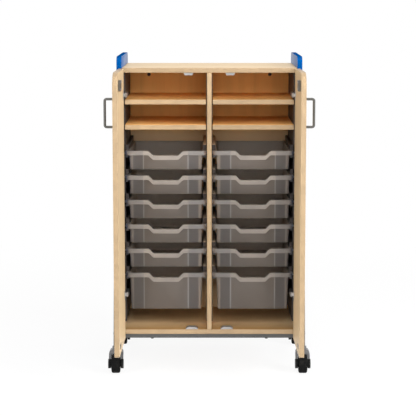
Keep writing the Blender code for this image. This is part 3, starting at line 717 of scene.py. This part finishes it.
class TRAYUNIT_OT_runners(bpy.types.Operator):
    """Part each runner panel into its liner, its tray runners and their pale lips"""

    bl_idname = "trayunit.runners"
    bl_label = "Runners"

    panel_thickness = {"outer": 0.0117, "inner": 0.003}
    flange_thickness = 0.0043
    rim_play = 0.0007
    above = 0.022
    below = 0.025
    ledge_reach = 0.010
    ledge_thickness = 0.004
    seat = 0.0003
    rounding = 0.0012
    lip_height = 0.011

    def execute(self, context):
        colours = context.scene.tray_unit_colours
        liner = plastic_finish("black_liner", colours.liner, 0.42, gloss=0.15)
        runner = plastic_finish("smoky_runner", colours.runner, 0.32, 0.35)
        lip = plastic_finish("worn_lip", colours.lip, 0.36)
        # Painted light: pale maple on the sides of the runner panels beside the divider, whose lit front
        # ends stay black.
        board = board_finish("maple_liner", colours.inner_liner, 2, 0.0)
        for hand, side in SIDES:
            for name, thickness in self.panel_thickness.items():
                sides = liner if name == "outer" else board
                self.split(hand, side, name, thickness, (liner, sides, runner, lip))
        return {"FINISHED"}

    def split(self, hand, side, name, thickness, materials):
        """The flat panel with its shelf ledges is black in front, and the tray runners on it are smoky."""
        liner, sides, runner, lip = materials
        node = f"{hand}_{name}_runner_panel"
        low, high = (Vector(corner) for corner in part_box(node))
        back, tip = sorted((abs(low.x), abs(high.x)), reverse=name == "outer")
        face = back + math.copysign(thickness, tip - back)
        root = (back + face) / 2
        ledge = face + math.copysign(self.ledge_reach, tip - back)

        def bar(bm, start, stop, bottom, top):
            xs = sorted((side * start, side * stop))
            return add_box(bm, (xs[0], low.y, bottom), (xs[1], high.y, top))

        panel = bmesh.new()
        bar(panel, back, face, low.z, high.z)
        for level in LEVELS:
            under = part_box(f"{hand}_{level}_shelf")[0][2] - self.seat
            bar(panel, root, ledge, under - self.ledge_thickness, under)
        rails = bmesh.new()
        lips = bmesh.new()
        for row in TRAY_ROWS:
            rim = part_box(f"{hand}_tray_{row}")[1][2]
            groove = rim - self.flange_thickness
            bar(rails, root, tip, groove - self.below, groove - self.lip_height)
            bar(panel, root, tip, rim + self.rim_play, rim + self.rim_play + self.above)
            bar(lips, root, tip, groove - self.lip_height, groove)
        panel.normal_update()
        for flat in panel.faces:
            flat.material_index = int(flat.normal.y > -FACING)
        dress(node, panel, [liner, sides])
        for part, bm, material in (("rails", rails, runner), ("lips", lips, lip)):
            round_off(bm, bm.edges[:], self.rounding, 2)
            fitting(f"{node}_{part}", bm, [material], "cabinet")


class TRAYUNIT_OT_trays(bpy.types.Operator):
    """Finish the trays with a pale rim over smoky walls"""

    bl_idname = "trayunit.trays"
    bl_label = "Trays"

    rim_height = 0.0365

    def execute(self, context):
        colours = context.scene.tray_unit_colours
        tints = (colours.tray_rim, colours.tray_wall, colours.tray_inside)
        smoke = tray_finish("smoke_tray", *tints, 0.30, 0.40)
        for hand, _ in SIDES:
            for row in TRAY_ROWS:
                self.tray(f"{hand}_tray_{row}", smoke)
        return {"FINISHED"}

    def tray(self, node, smoke):
        """Marks the faces of the rim, and those that look into the tray."""
        bm = merged_copy(node)
        low, high = (Vector(corner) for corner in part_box(node))
        middle = (low + high) / 2
        rim = bm.loops.layers.float.new("rim")
        inside = bm.loops.layers.float.new("inside")
        for face in bm.faces:
            at_rim = min(vert.co.z for vert in face.verts) > high.z - self.rim_height
            inward = face.normal.dot(middle - face.calc_center_median()) > 0
            for loop in face.loops:
                loop[rim] = float(at_rim)
                loop[inside] = float(inward and not at_rim)
        dress(node, bm, [smoke], 40.0)


class TRAYUNIT_OT_doors(bpy.types.Operator):
    """Finish the doors with their pulls, locks and strike plates"""

    bl_idname = "trayunit.doors"
    bl_label = "Doors"

    outside_tone = 0.72
    # Painted shade: this tone darkens the doors' edge strip.
    band_tone = 0.84
    lock_thickness = 0.0103
    lock_screws = (0.015, 0.013)
    strike_thickness = 0.0015
    strike_x = 0.071
    strike_z = 0.176
    strike_screw_x = 0.013
    sunk_screw_height = 0.0003
    plug_sides = 32
    plug_discs = ((1.25, 0.0012), (1.0, 0.0030), (0.62, 0.0038))
    slot_shares = (0.12, 0.45)
    slot_height = 0.0042

    def execute(self, context):
        colours = context.scene.tray_unit_colours
        sizes = context.scene.tray_unit_sizes
        maple = board_finish("maple_door", colours.maple, 2)
        outside = board_finish("maple_door_outside", toned(colours.maple, self.outside_tone), 2)
        # Painted shade: a darker copy of the edge strip on the doors.
        band = edge_band_finish("maple_door_band", toned(colours.edge_band, self.band_tone))
        satin = metal_finish("satin_pull", colours.satin, 0.30, 2)
        case = metal_finish("grey_lock_case", colours.satin, 0.34, 2)
        nickel = metal_finish("nickel_lock", colours.nickel, 0.22, 0)
        for hand, side in SIDES:
            bm = merged_copy(f"{hand}_door")
            mark_edges(bm)
            for face in bm.faces:
                outward = face.normal.x * side
                face.material_index = 2 if outward > FACING else int(outward > -FACING)
            dress(f"{hand}_door", bm, [maple, band, outside])
            dress(f"{hand}_door_pull", merged_copy(f"{hand}_door_pull"), [satin], 50.0)
            for name in ("lock_case", "strike_plate"):
                bm = merged_copy(f"{hand}_{name}")
                mark_edges(bm)
                dress(f"{hand}_{name}", bm, [case])
            self.key_plug(hand, side, sizes, nickel)
            self.door_screws(hand, side, sizes, nickel)
        return {"FINISHED"}

    def key_plug(self, hand, side, sizes, nickel):
        """The lock's round plug on the outside of the door, with a key slot."""
        place = door_place(side) @ facing((side * LOCK_X, DOOR_OUTER_Y, LOCK_Z), (0, -1, 0))
        radius = sizes.key_radius
        bm = bmesh.new()
        for share, height in self.plug_discs:
            add_disc(bm, place, radius * share, height, self.plug_sides)
        half_x, half_y = (radius * share for share in self.slot_shares)
        rib = add_box(bm, (-half_x, -half_y, 0), (half_x, half_y, self.slot_height))
        bmesh.ops.transform(bm, matrix=place, verts=rib)
        fitting(f"{hand}_key_plug", bm, [nickel], f"{hand}_door")

    def door_screws(self, hand, side, sizes, nickel):
        """Domed heads on the lock case, and sunk ones on the strike plate, which meets the bottom panel."""
        bm = bmesh.new()
        swing = door_place(side)
        lock_face = DOOR_INNER_Y + self.lock_thickness
        strike_face = DOOR_INNER_Y + self.strike_thickness
        lock_x, lock_z = self.lock_screws
        for dx in (-lock_x, lock_x):
            for dz in (-lock_z, lock_z):
                place = swing @ facing((side * (LOCK_X + dx), lock_face, LOCK_Z + dz), (0, 1, 0))
                add_screw(bm, place, sizes.screw_radius, sizes.screw_height)
        for dx in (-self.strike_screw_x, self.strike_screw_x):
            x = side * (self.strike_x - HINGE_X + dx)
            place = swing @ facing((x, strike_face, self.strike_z), (0, 1, 0))
            add_screw(bm, place, sizes.screw_radius, self.sunk_screw_height)
        fitting(f"{hand}_door_screws", bm, [nickel], f"{hand}_door")


class TRAYUNIT_OT_hinges(bpy.types.Operator):
    """Finish the concealed hinges and catches, with their screws"""

    bl_idname = "trayunit.hinges"
    bl_label = "Hinges and catches"

    arm_screw_reach = (0.012, 0.044)
    catch_screw_x = 0.009

    def execute(self, context):
        colours = context.scene.tray_unit_colours
        sizes = context.scene.tray_unit_sizes
        nickel = metal_finish("nickel_hinge", colours.nickel, 0.24, 1)
        screws = metal_finish("nickel_screw", colours.nickel, 0.20, 0)
        bm = bmesh.new()
        for hand, side in SIDES:
            for name in LEVELS:
                dress(f"{hand}_{name}_hinge_cup", merged_copy(f"{hand}_{name}_hinge_cup"), [nickel])
                node = f"{hand}_{name}_hinge_arm"
                arm = merged_copy(node)
                mark_edges(arm)
                dress(node, arm, [nickel])
                self.arm_screws(bm, node, side, sizes)
            for name in ("top", "bottom"):
                node = f"{hand}_{name}_catch"
                catch = merged_copy(node)
                mark_edges(catch)
                dress(node, catch, [nickel])
                self.catch_screws(bm, node, sizes)
        fitting("cabinet_screws", bm, [screws], "cabinet")
        return {"FINISHED"}

    def arm_screws(self, bm, node, side, sizes):
        low, high = (Vector(corner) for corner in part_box(node))
        inner_x = min(abs(low.x), abs(high.x)) * side
        middle_z = (low.z + high.z) / 2
        for reach in self.arm_screw_reach:
            place = facing((inner_x, FRONT_Y + reach, middle_z), (-side, 0, 0))
            add_screw(bm, place, sizes.screw_radius, sizes.screw_height)

    def catch_screws(self, bm, node, sizes):
        """Two screws through the flat of the catch's case."""
        low, high = (Vector(corner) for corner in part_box(node))
        middle = (low + high) / 2
        up = 1 if "bottom" in node else -1
        face = high.z if up > 0 else low.z
        for dx in (-self.catch_screw_x, self.catch_screw_x):
            place = facing((middle.x + dx, middle.y, face), (0, 0, up))
            add_screw(bm, place, sizes.screw_radius, sizes.screw_height)


class TRAYUNIT_OT_base(bpy.types.Operator):
    """Finish the steel beams and legs, with their bolts"""

    bl_idname = "trayunit.base"
    bl_label = "Steel base"

    leg_screw_z = 0.155
    leg_taper = 0.0042
    beam_bolt_x = 0.2325
    bolt_tone = 0.4

    def execute(self, context):
        colours = context.scene.tray_unit_colours
        sizes = context.scene.tray_unit_sizes
        paint = painted_finish("grey_powder_coat", colours.paint)
        steel = metal_finish("bolt_steel", toned(colours.zinc, self.bolt_tone), 0.32, 2)
        bolts = bmesh.new()
        for end in ENDS:
            beam = merged_copy(f"{end}_beam")
            mark_edges(beam)
            dress(f"{end}_beam", beam, [paint])
            low, high = (Vector(corner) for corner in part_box(f"{end}_beam"))
            for _, side in SIDES:
                place = facing((side * self.beam_bolt_x, (low.y + high.y) / 2, low.z), (0, 0, -1))
                add_bolt(bolts, place, sizes.bolt_radius, sizes.bolt_height)
            for hand, side in SIDES:
                self.leg(f"{end}_{hand}_leg", side, paint, bolts, sizes)
        fitting("base_bolts", bolts, [steel], "cabinet")
        return {"FINISHED"}

    def leg(self, node, side, paint, bolts, sizes):
        bm = merged_copy(node)
        mark_edges(bm)
        dress(node, bm, [paint])
        low, high = (Vector(corner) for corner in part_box(node))
        foot_x = max(abs(low.x), abs(high.x))
        rise = (self.leg_screw_z - low.z) / (high.z - low.z)
        x = side * (foot_x - self.leg_taper * rise)
        place = facing((x, (low.y + high.y) / 2, self.leg_screw_z), (side, 0, 0))
        add_screw(bolts, place, sizes.bolt_radius, sizes.screw_height)


class TRAYUNIT_OT_casters(bpy.types.Operator):
    """Finish the swivel casters"""

    bl_idname = "trayunit.casters"
    bl_label = "Casters"

    cover_reach = (0.0203, 0.0272)
    cover_radius = 0.0192

    def execute(self, context):
        colours = context.scene.tray_unit_colours
        black = plastic_finish("black_axle_cover", colours.black, 0.45, gloss=0.1)
        for end in ENDS:
            for hand, _ in SIDES:
                name = f"{end}_{hand}"
                low, high = (Vector(corner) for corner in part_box(f"{name}_caster_wheel"))
                axle = (low + high) / 2
                plate = fork_finish(f"{name}_plate", colours.zinc, colours.black, axle)
                dress(f"{name}_caster_fork", merged_copy(f"{name}_caster_fork"), [plate], 40.0)
                rubber = wheel_finish(f"{name}_tread", colours.rubber, colours.black, axle)
                dress(f"{name}_caster_wheel", merged_copy(f"{name}_caster_wheel"), [rubber], 50.0)
                self.axle_covers(name, axle, black)
        return {"FINISHED"}

    def axle_covers(self, name, axle, black):
        """Round covers that close the fork's ends, between the axle's caps and the wheel."""
        inner, outer = self.cover_reach
        bm = bmesh.new()
        for _, side in SIDES:
            place = facing(axle + Vector((side * inner, 0, 0)), (side, 0, 0))
            add_disc(bm, place, self.cover_radius, outer - inner)
        fitting(f"{name}_axle_covers", bm, [black], f"{name}_caster")


class TRAYUNIT_OT_stage(bpy.types.Operator):
    """Set the floor, the light and the camera"""

    bl_idname = "trayunit.stage"
    bl_label = "Stage"

    floor_size = 60.0
    floor_tone = 0.86
    floor_glow = (0.90, 1.00)
    floor_shade = (0.9, 3.2)
    target = (0.0, 0.0, 0.65)
    lamps = (
        ("key_light", "key_power", (4.0, -3.2, 2.4), 2.4),
        ("fill_light", "fill_power", (-4.0, -3.2, 2.2), 2.4),
        ("front_light", "front_power", (0.3, -6.3, 1.35), 2.4),
        ("high_light", "high_power", (0.4, -5.0, 3.2), 2.6),
        ("top_light", "top_power", (0.2, -0.8, 4.2), 3.2),
    )

    def execute(self, context):
        scene = context.scene
        settings = scene.tray_unit_stage
        scene.view_settings.view_transform = "Standard"
        self.floor()
        self.sky(scene, settings)
        for name, power, position, size in self.lamps:
            self.lamp(scene, name, getattr(settings, power), position, size)
        self.camera(scene, settings)
        return {"FINISHED"}

    def seen_directly(self, tree):
        """1 for rays from the camera, and for those that metal and clear plastic send on."""
        path = tree.nodes.new("ShaderNodeLightPath")
        names = ("Is Camera Ray", "Is Glossy Ray", "Is Transmission Ray")
        camera, glossy, through = (Wire(tree, path.outputs[name]) for name in names)
        return camera.math("MAXIMUM", camera.math("MAXIMUM", camera, glossy), through)

    def floor(self):
        bm = bmesh.new()
        bmesh.ops.create_grid(bm, x_segments=1, y_segments=1, size=self.floor_size)
        material = bpy.data.materials.new("white_floor")
        material.use_nodes = True
        tree = material.node_tree
        shader = tree.nodes["Principled BSDF"]
        shader.inputs["Base Color"].default_value = (*even(self.floor_tone), 1.0)
        shader.inputs["Roughness"].default_value = 0.85
        shader.inputs["Specular IOR Level"].default_value = 0.1
        place = add_node(tree, "ShaderNodeTexCoord", {}, {}, "Object")
        reach = add_node(tree, "ShaderNodeVectorMath", {"operation": "LENGTH"}, {0: place}, "Value")
        near, far = self.floor_glow
        share = near + (far - near) * reach.between(*self.floor_shade)
        glow = add_node(tree, "ShaderNodeEmission", {}, {"Color": even(1.0), "Strength": 1.0})
        shaded = Wire(tree, shader.outputs[0])
        mixed = add_node(
            tree, "ShaderNodeMixShader", {}, {0: self.seen_directly(tree) * share, 1: shaded, 2: glow}
        )
        tree.links.new(mixed.socket, tree.nodes["Material Output"].inputs["Surface"])
        new_object("floor", bm, [material])

    def sky(self, scene, settings):
        world = bpy.data.worlds.new("studio_white")
        world.use_nodes = True
        tree = world.node_tree
        backdrop = tree.nodes["Background"]
        backdrop.inputs["Color"].default_value = (*even(1.0), 1.0)
        seen = self.seen_directly(tree)
        connect(tree, backdrop.inputs["Strength"], settings.sky + (1.0 - settings.sky) * seen)
        scene.world = world

    def lamp(self, scene, name, power, position, size):
        data = bpy.data.lights.new(name, "AREA")
        data.shape = "SQUARE"
        data.size = size
        data.energy = power
        lamp = bpy.data.objects.new(name, data)
        lamp.location = position
        direction = Vector(self.target) - Vector(position)
        lamp.rotation_euler = direction.to_track_quat("-Z", "Y").to_euler()
        lamp.visible_glossy = False
        scene.collection.objects.link(lamp)

    def camera(self, scene, settings):
        data = bpy.data.cameras.new("camera")
        data.lens = settings.lens
        data.clip_end = 200.0
        camera = bpy.data.objects.new("camera", data)
        camera.location = (0.0, FRONT_Y - settings.distance, settings.height)
        camera.rotation_euler = (math.radians(90) - settings.pitch, 0.0, settings.yaw)
        scene.collection.objects.link(camera)
        scene.camera = camera


class TRAYUNIT_PT_panel(bpy.types.Panel):
    """Settings and steps of the tray unit"""

    bl_idname = "TRAYUNIT_PT_panel"
    bl_label = "Tray Unit"
    bl_space_type = "VIEW_3D"
    bl_region_type = "UI"
    bl_category = "Tray Unit"

    def draw(self, context):
        scene = context.scene
        for group in (scene.tray_unit_colours, scene.tray_unit_sizes, scene.tray_unit_stage):
            box = self.layout.box()
            for name in group.bl_rna.properties.keys():
                if name not in ("rna_type", "name"):
                    box.prop(group, name)
        for operator in OPERATORS:
            self.layout.operator(operator.bl_idname)


GROUPS = {
    "tray_unit_colours": TrayUnitColours,
    "tray_unit_sizes": TrayUnitSizes,
    "tray_unit_stage": TrayUnitStage,
}
OPERATORS = (
    TRAYUNIT_OT_panels,
    TRAYUNIT_OT_runners,
    TRAYUNIT_OT_trays,
    TRAYUNIT_OT_doors,
    TRAYUNIT_OT_hinges,
    TRAYUNIT_OT_base,
    TRAYUNIT_OT_casters,
    TRAYUNIT_OT_stage,
)


def register():
    for name, group in GROUPS.items():
        bpy.utils.register_class(group)
        setattr(bpy.types.Scene, name, bpy.props.PointerProperty(type=group))
    for operator in OPERATORS:
        bpy.utils.register_class(operator)
    bpy.utils.register_class(TRAYUNIT_PT_panel)


def unregister():
    bpy.utils.unregister_class(TRAYUNIT_PT_panel)
    for operator in reversed(OPERATORS):
        bpy.utils.unregister_class(operator)
    for name, group in GROUPS.items():
        delattr(bpy.types.Scene, name)
        bpy.utils.unregister_class(group)


def main():
    register()
    bpy.ops.trayunit.panels()
    bpy.ops.trayunit.runners()
    bpy.ops.trayunit.trays()
    bpy.ops.trayunit.doors()
    bpy.ops.trayunit.hinges()
    bpy.ops.trayunit.base()
    bpy.ops.trayunit.casters()
    bpy.ops.trayunit.stage()


if __name__ == "__main__":
    main()
